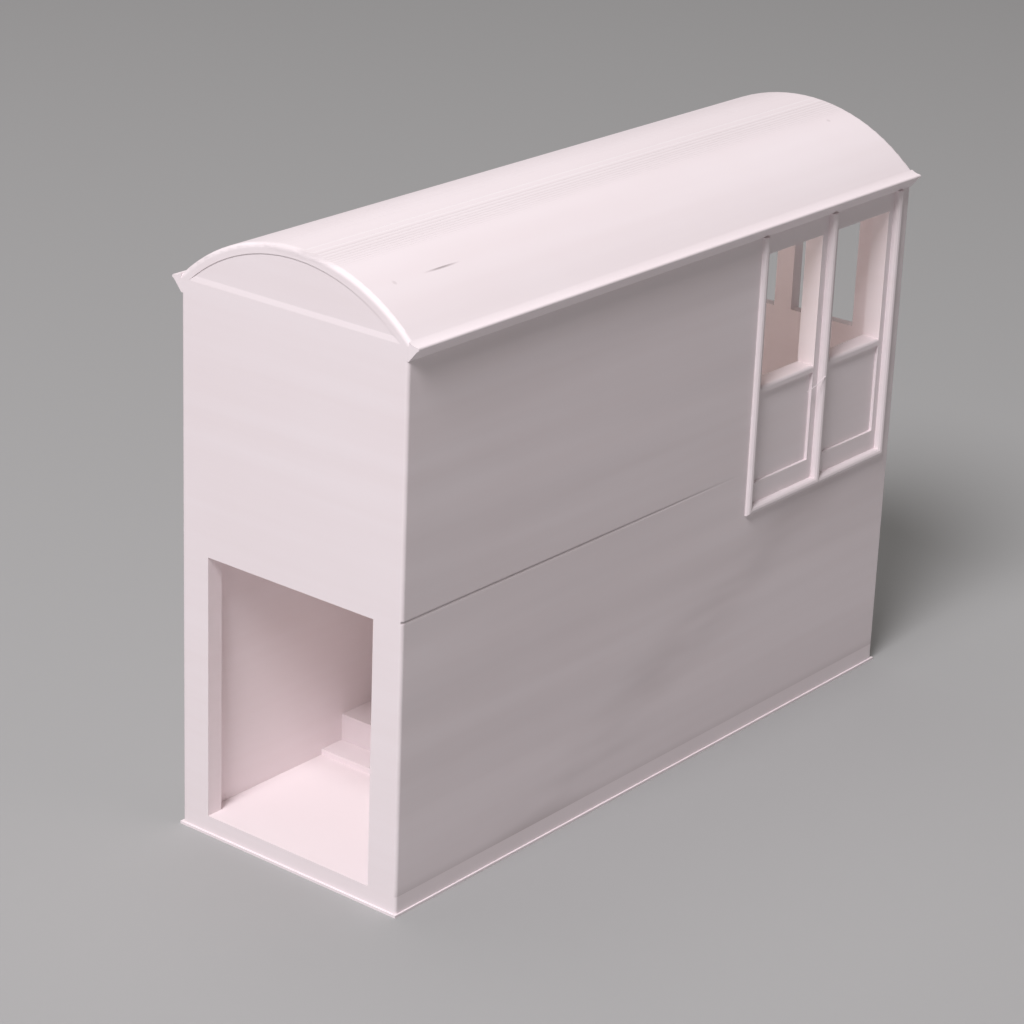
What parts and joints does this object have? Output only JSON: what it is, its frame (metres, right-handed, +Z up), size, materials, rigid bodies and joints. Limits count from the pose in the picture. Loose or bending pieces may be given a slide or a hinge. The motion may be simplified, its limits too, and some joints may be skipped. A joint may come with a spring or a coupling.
{
  "type": "model railway station building",
  "caption": "Small arched-roof station building model with a street entrance, an inner flight of stairs and open double doors round the landing.",
  "frame": {"origin": "centre of the footprint, on the ground", "axes": "+Y from the entrance face to the back face, +X to the right of someone who enters, +Z up"},
  "size_m": [0.0328, 0.0887, 0.0678],
  "materials": {
    "printed_plastic": "white printed plastic with fine layer lines"
  },
  "bodies": {
    "root": {"back_bay_bottom_rail": "printed_plastic", "back_bay_head_rail": "printed_plastic", "back_bay_mullion": "printed_plastic", "back_bay_panels": "printed_plastic", "back_bay_sills": "printed_plastic", "back_bay_stiles": "printed_plastic", "back_bay_surround": "printed_plastic", "back_gable": "printed_plastic", "back_wall": "printed_plastic", "front_gable": "printed_plastic", "front_wall": "printed_plastic", "ground_floor": "printed_plastic", "hall_ceiling": "printed_plastic", "landing": "printed_plastic", "left_bay_bottom_rail": "printed_plastic", "left_bay_head_rail": "printed_plastic", "left_bay_mullion": "printed_plastic", "left_bay_panels": "printed_plastic", "left_bay_sills": "printed_plastic", "left_bay_stiles": "printed_plastic", "left_bay_surround": "printed_plastic", "left_eave": "printed_plastic", "left_wall": "printed_plastic", "right_bay_bottom_rail": "printed_plastic", "right_bay_head_rail": "printed_plastic", "right_bay_mullion": "printed_plastic", "right_bay_panels": "printed_plastic", "right_bay_sills": "printed_plastic", "right_bay_stiles": "printed_plastic", "right_bay_surround": "printed_plastic", "right_eave": "printed_plastic", "right_wall": "printed_plastic", "roof_shell": "printed_plastic", "stair_step_1": "printed_plastic", "stair_step_2": "printed_plastic", "stair_step_3": "printed_plastic", "stair_step_4": "printed_plastic", "stair_step_5": "printed_plastic", "stair_step_6": "printed_plastic", "stair_step_7": "printed_plastic", "stair_step_8": "printed_plastic", "stair_waist": "printed_plastic"}
  },
  "joints": []
}
